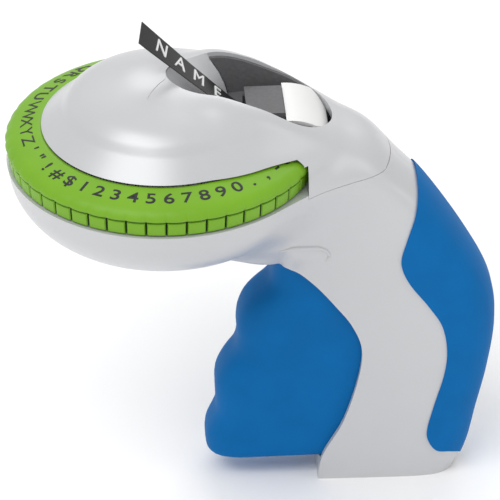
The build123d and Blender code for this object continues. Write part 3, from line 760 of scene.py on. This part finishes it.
TRIGGER_ARC = [(34.7, -22.9, -30.0), (37.3, -21.8, -29.9), (39.9, -20.9, -30.1), (44.2, -18.8, -31.5),
               (48.2, -16.9, -33.1), (50.5, -16.1, -34.8), (51.6, -15.6, -37.1), (50.3, -15.3, -39.2)]
DOME_CREASE = [(-5.5, -12.8, 21.5), (-4.4, -10.4, 22.2), (-1.7, -6.2, 22.8), (1.0, -3.0, 23.1)]
ARC_WIDTH = 1.3
CREASE_WIDTH = 0.4
finish_piece(bead("arc_left", TRIGGER_ARC, ARC_WIDTH), silver)
finish_piece(bead("arc_right", [(x, -y, z) for x, y, z in TRIGGER_ARC], ARC_WIDTH), silver)
finish_piece(bead("dome_crease", DOME_CREASE, CREASE_WIDTH), silver)

# ---------------------------------------------------------------- dial ring
PAD_STEPS = 20           # steps of the ring's mesh in each finger pad
PAD_WIDTH = 6.3
PAD_GAP = 0.33


def ring_mesh():
    """Dial ring with a scalloped edge and one finger pad for each character."""
    turns = PADS * PAD_STEPS
    # Radius, height, how far the gaps between pads cut in, how far the scallops stand out.
    profile = [
        (47.0, -5.7, 0, 0), (48.3, -5.7, 0, 0), (48.75, -5.45, 0.5, 0), (48.95, -4.6, 0.95, 0.0),
        (49.2, -2.6, 0.95, 0.1), (49.3, -1.25, 0.9, 0.12), (48.9, -1.05, 0.5, 0.1), (48.9, -0.7, 0.4, 0.2),
        (49.5, -0.45, 0.1, 0.3), (49.85, -0.1, 0.12, 0.34), (49.9, 0.45, 0.1, 0.32), (49.6, 1.1, 0.05, 0.25),
        (48.9, 1.95, 0, 0.14), (47.9, 2.75, 0, 0.05), (46.6, 3.3, 0, 0), (44.6, 4.0, 0, 0), (42.0, 4.7, 0, 0),
        (39.7, 5.2, 0, 0), (39.1, 5.36, 0, 0), (38.4, 5.36, 0, 0), (38.0, 5.2, 0, 0), (38.0, 3.2, 0, 0),
        (45.4, 1.2, 0, 0), (47.0, -0.9, 0, 0),
    ]
    n = len(profile)
    points = []
    for i in range(turns):
        angle = i * 2 * math.pi / turns
        phase = (i % PAD_STEPS) / PAD_STEPS
        gap_here = math.exp(-((min(phase, 1 - phase) * PAD_WIDTH / PAD_GAP) ** 4))
        crown = math.sin(math.pi * phase) ** 0.8 if 0 < phase < 1 else 0.0
        for r, z, gap_depth, scallop in profile:
            radius = r - gap_depth * gap_here - scallop * (1 - crown)
            points.append((-radius * math.cos(angle), -radius * math.sin(angle), z))
    obj = mesh_object("dial_ring_moulding", points, wall_faces(turns, n, closed=True), 40)
    fix_normals(obj)
    return obj, n


def ring_top(radius):
    """Height of the dial ring's upper face."""
    radii = [39.1, 39.7, 42.0, 44.6, 46.6, 47.9, 48.9]
    heights = [5.36, 5.2, 4.7, 4.0, 3.3, 2.75, 1.95]
    return np.interp(radius, radii, heights)


# The character 5 stands at the wheel's near side, a little to the left of it.
FIRST_CHARACTER = math.radians(-97.9) - CHARACTERS.index("5") * PITCH
CHARACTER_RADIUS = 43.3
CHARACTER_SIZE = 5.6
CHARACTER_WIDTH = 1.3        # how much wider they are than the font's own
STROKE = 0.06                # extra stroke width, which letters with sharp corners can't take
SHARP_LETTERS = "KMNVWXYZ"
INK_DEPTH = 0.12


def text_mesh(body, size, depth, weight=0.0):
    """A letter or word as a solid mesh, in its own flat frame, centred."""
    curve = bpy.data.curves.new("letters", "FONT")
    curve.body = body
    curve.size = size
    curve.align_x = "CENTER"
    curve.align_y = "CENTER"
    curve.extrude = depth / 2
    curve.offset = weight
    curve.resolution_u = 6
    obj = bpy.data.objects.new("letters", curve)
    bpy.context.scene.collection.objects.link(obj)
    bpy.context.view_layer.update()
    mesh = bpy.data.meshes.new_from_object(obj.evaluated_get(bpy.context.evaluated_depsgraph_get()))
    bpy.data.objects.remove(obj)
    bpy.data.curves.remove(curve)
    points = np.array([v.co for v in mesh.vertices], float)
    faces = [tuple(p.vertices) for p in mesh.polygons]
    bpy.data.meshes.remove(mesh)
    return points, faces


def dial_characters():
    """The printed characters, one above each pad, their feet towards the dial's edge."""
    points, faces = [], []
    for k, letter in enumerate(CHARACTERS):
        angle = FIRST_CHARACTER + k * PITCH
        weight = 0.0 if letter in SHARP_LETTERS else STROKE
        co, fs = text_mesh(letter, CHARACTER_SIZE, INK_DEPTH, weight)
        across, up, out = co[:, 0] * CHARACTER_WIDTH, co[:, 1], co[:, 2]
        radius = CHARACTER_RADIUS - up
        height = ring_top(radius) + 0.04 + out
        x = radius * math.cos(angle) - across * math.sin(angle)
        y = radius * math.sin(angle) + across * math.cos(angle)
        base = len(points)
        points += list(zip(x, y, height))
        faces += [tuple(i + base for i in f) for f in fs]
    return mesh_object("dial_characters", points, faces)


ring, ring_rows = ring_mesh()
finish_piece(ring, green, "dial", ["dial_ring"])
# The gaps between pads and the narrow step above them get the near-black green: painted shade, not the ring's
# own colour.
ring.data.materials.append(painted_groove_shade)
for index, face in enumerate(ring.data.polygons):
    turn, row = divmod(index, ring_rows)
    between_pads = turn % PAD_STEPS in (0, PAD_STEPS - 1) and 2 <= row <= 5
    above_pads = row == 6
    if between_pads or above_pads:
        face.material_index = 1
finish_piece(dial_characters(), ink, "dial")

# ---------------------------------------------------------------- trigger grip
TRIGGER_FRONT = spline([
    (34.0, -37.0), (34.4, -46.0), (33.6, -52.5), (31.0, -56.0), (27.7, -59.0), (24.9, -62.5), (23.2, -67.0),
    (22.8, -71.5), (23.0, -75.0), (21.9, -80.0), (18.2, -85.5), (15.9, -91.0), (15.8, -97.5), (15.9, -103.0),
    (14.4, -107.2), (12.8, -111.0), (12.4, -115.0), (12.8, -119.2),
], 8)
TRIGGER_REAR = spline([
    (37, -36.0), (45, -40), (52.5, -49.5), (60, -59.5), (65.4, -70), (66.6, -79), (64.8, -90), (61.0, -101),
    (56.5, -112), (53, -119.2),
], 8)
TRIGGER_HALF = 11.4
NOSE = 11.5                  # how far back the rounded front reaches
LOW_ROUND = 2.2              # rounding of the lower and the upper end
HIGH_ROUND = 2.9


def rounded(past, radius):
    """How far a rounded end draws in, this far past where its rounding starts."""
    k = min(1.0, max(0.0, past / radius))
    return radius * (1 - math.sqrt(max(0.0, 1 - k * k)))


def trigger_mesh():
    """Finger grip with a rounded front: plan sections stacked from bottom to top."""
    low_end = [-119.2, -119.15, -118.9, -118.4, -117.6]
    high_end = [-38.2, -37.4, -36.8, -36.4, -36.15]
    levels = np.concatenate([low_end, np.arange(-116.5, -39, 1.5), high_end])
    front_z, front_x = TRIGGER_FRONT[::-1, 1], TRIGGER_FRONT[::-1, 0]
    rear_z, rear_x = TRIGGER_REAR[::-1, 1], TRIGGER_REAR[::-1, 0]
    steps = 26
    points = []
    for z in levels:
        inset = rounded(-117 - z, LOW_ROUND) + rounded(z + 39, HIGH_ROUND)
        xf = np.interp(z, front_z, front_x) + inset
        xr = np.interp(z, rear_z, rear_x) - inset
        w = TRIGGER_HALF - inset
        row = [(xr, -w)]
        for a in np.linspace(-math.pi / 2, math.pi / 2, steps + 1):
            c = abs(math.cos(a)) ** 0.9
            s = math.copysign(abs(math.sin(a)) ** 0.62, math.sin(a))
            row.append((xf + NOSE * (1 - c), w * s))
        row.append((xr, w))
        points += [(x, y, z) for x, y in row]
    n = steps + 3
    faces = wall_faces(len(levels), n) + end_faces(len(levels), n)
    obj = mesh_object("trigger_finger_grip", points, faces, 45)
    fix_normals(obj)
    return obj


trigger = trigger_mesh()
pocket = prism("pocket", [
    (37.5, -20), (38.5, -46), (37.5, -54), (33, -60), (31, -70), (25, -83), (24, -96), (21.5, -107),
    (21.5, -113), (90, -113), (90, -20),
], 2.2 - TRIGGER_HALF, TRIGGER_HALF - 2.2)
cut(trigger, pocket)
remove(pocket)
shade(trigger, 40)
finish_piece(trigger, blue, "trigger", ["trigger_grip"])

# ---------------------------------------------------------------- label tape
# Middle line of the tape: x, z and its twist in degrees.
TAPE_ROWS = spline([
    (65.5, -9.4, 0), (59, -5.4, 0), (53.4, -0.4, 0), (50.8, 2.9, 0), (44, 5.8, 0), (38.8, 7.0, 0),
    (33, 7.0, 0), (27.2, 7.05, 0), (25.2, 8.0, 0), (22.0, 10.6, 1), (17.6, 14.7, 3), (12.6, 19.4, 6),
    (7.6, 24.2, 9), (2.4, 29.3, 13), (-2.6, 34.2, 17), (-7.4, 39.0, 20),
], 8)
TAPE_RUN = np.concatenate([[0], np.cumsum(np.hypot(*np.diff(TAPE_ROWS[:, :2], axis=0).T))])
TAPE_END = TAPE_RUN[-1]
TAPE_FACE = 0.2              # from the middle of the tape's thickness to its face


def tape_point(run, across, out):
    """A point on the tape: run along it, across its width and out of its face."""
    x, z, twist = [np.interp(run, TAPE_RUN, TAPE_ROWS[:, k]) for k in range(3)]
    ahead = [np.interp(run + 0.4, TAPE_RUN, TAPE_ROWS[:, k]) for k in range(2)]
    behind = [np.interp(run - 0.4, TAPE_RUN, TAPE_ROWS[:, k]) for k in range(2)]
    angle = np.arctan2(ahead[1] - behind[1], ahead[0] - behind[0])
    turn = np.radians(twist)
    side = np.stack([np.sin(turn) * np.sin(angle), np.cos(turn), -np.sin(turn) * np.cos(angle)], -1)
    along = np.stack([np.cos(angle), 0 * angle, np.sin(angle)], -1)
    face = np.cross(side, along)
    face *= np.sign(face[..., 2:3])
    middle = np.stack([x, 0 * x, z], -1)
    return middle + side * np.asarray(across)[..., None] + face * np.asarray(out)[..., None]


def tape_mesh():
    """The tape as a thin ribbon with rounded edges and a slightly slanted cut end."""
    upper = [(-4.5, 0.06), (-4.35, TAPE_FACE), (4.35, TAPE_FACE), (4.5, 0.06)]
    section = upper + [(across, -out) for across, out in upper[::-1]]
    points = []
    stations = np.linspace(0.2, TAPE_END - 1.0, 90)
    for s in stations:
        for across, out in section:
            slant = 0.12 * across * (s / TAPE_END) ** 8
            points.append(tape_point(np.array(s + slant), np.array(across), np.array(out)))
    faces = wall_faces(len(stations), len(section)) + end_faces(len(stations), len(section))
    obj = mesh_object("label_ribbon", points, faces)
    fix_normals(obj)
    return obj


def embossed_word(word, size, first_run, pitch):
    """Raised letters on the tape, read from its free end."""
    points, faces = [], []
    for k, letter in enumerate(word):
        co, fs = text_mesh(letter, size, 0.36)
        run = first_run - k * pitch - co[:, 0] * 0.86
        at = tape_point(run, co[:, 1], TAPE_FACE + co[:, 2] + 0.12)
        base = len(points)
        points += [tuple(p) for p in at]
        faces += [tuple(i + base for i in f) for f in fs]
    return mesh_object("embossed_letters", points, faces)


finish_piece(tape_mesh(), tape, nodes=["label_tape"])
finish_piece(embossed_word("NAME", 7.6, TAPE_END - 10.0, 8.0), stress_white)

# ---------------------------------------------------------------- floor, light and camera
FLOOR_SIZE = 6.0
floor_mesh = bpy.data.meshes.new("floor")
h = FLOOR_SIZE / 2
floor_mesh.from_pydata([(-h, -h, 0), (h, -h, 0), (h, h, 0), (-h, h, 0)], [], [(0, 1, 2, 3)])
floor = bpy.data.objects.new("floor", floor_mesh)
floor.location.z = cad_box[0].z
bpy.context.scene.collection.objects.link(floor)
floor_look = material(
    "pale_floor", (0.985, 0.985, 0.985), 0.85, spread=0.004, grain=300, bump=0.0, specular=0.2)
floor.data.materials.append(floor_look)

world = bpy.data.worlds.new("studio")
bpy.context.scene.world = world
world.use_nodes = True
world.node_tree.nodes["Background"].inputs["Color"].default_value = (1, 1, 1, 1)
world.node_tree.nodes["Background"].inputs["Strength"].default_value = 0.62


def softbox(name, at, target, size, power):
    """A rectangular area light aimed at a point, all in metres."""
    light = bpy.data.lights.new(name, "AREA")
    light.shape = "RECTANGLE"
    light.size, light.size_y = size
    light.energy = power
    obj = bpy.data.objects.new(name, light)
    obj.location = at
    obj.rotation_euler = (Vector(target) - Vector(at)).to_track_quat("-Z", "Y").to_euler()
    bpy.context.scene.collection.objects.link(obj)


centre = (-0.03, 0.0, 0.08)
softbox("key", (-0.9, -0.9, 2.2), centre, (1.8, 1.4), 28.0)
softbox("back", (0.4, 1.8, 1.7), centre, (2.0, 1.0), 16.0)
softbox("side", (1.7, -0.7, 0.9), centre, (0.5, 1.3), 3.0)

CAMERA_ELEVATION = math.radians(33.29)
CAMERA_AZIMUTH = math.radians(4.0)
CAMERA_DISTANCE = 1.287
TARGET = Vector(to_frame([(27.4, 0.0, -43.9)])[0])
back = Vector((
    -math.sin(CAMERA_AZIMUTH) * math.cos(CAMERA_ELEVATION),
    -math.cos(CAMERA_AZIMUTH) * math.cos(CAMERA_ELEVATION),
    math.sin(CAMERA_ELEVATION),
))
camera_data = bpy.data.cameras.new("camera")
camera_data.sensor_width = 36
camera_data.lens = 288
camera_data.clip_end = 50
camera = bpy.data.objects.new("camera", camera_data)
camera.location = TARGET + back * CAMERA_DISTANCE
camera.rotation_euler = (-back).to_track_quat("-Z", "Y").to_euler()
bpy.context.scene.collection.objects.link(camera)
bpy.context.scene.camera = camera
bpy.context.scene.view_settings.view_transform = "Standard"
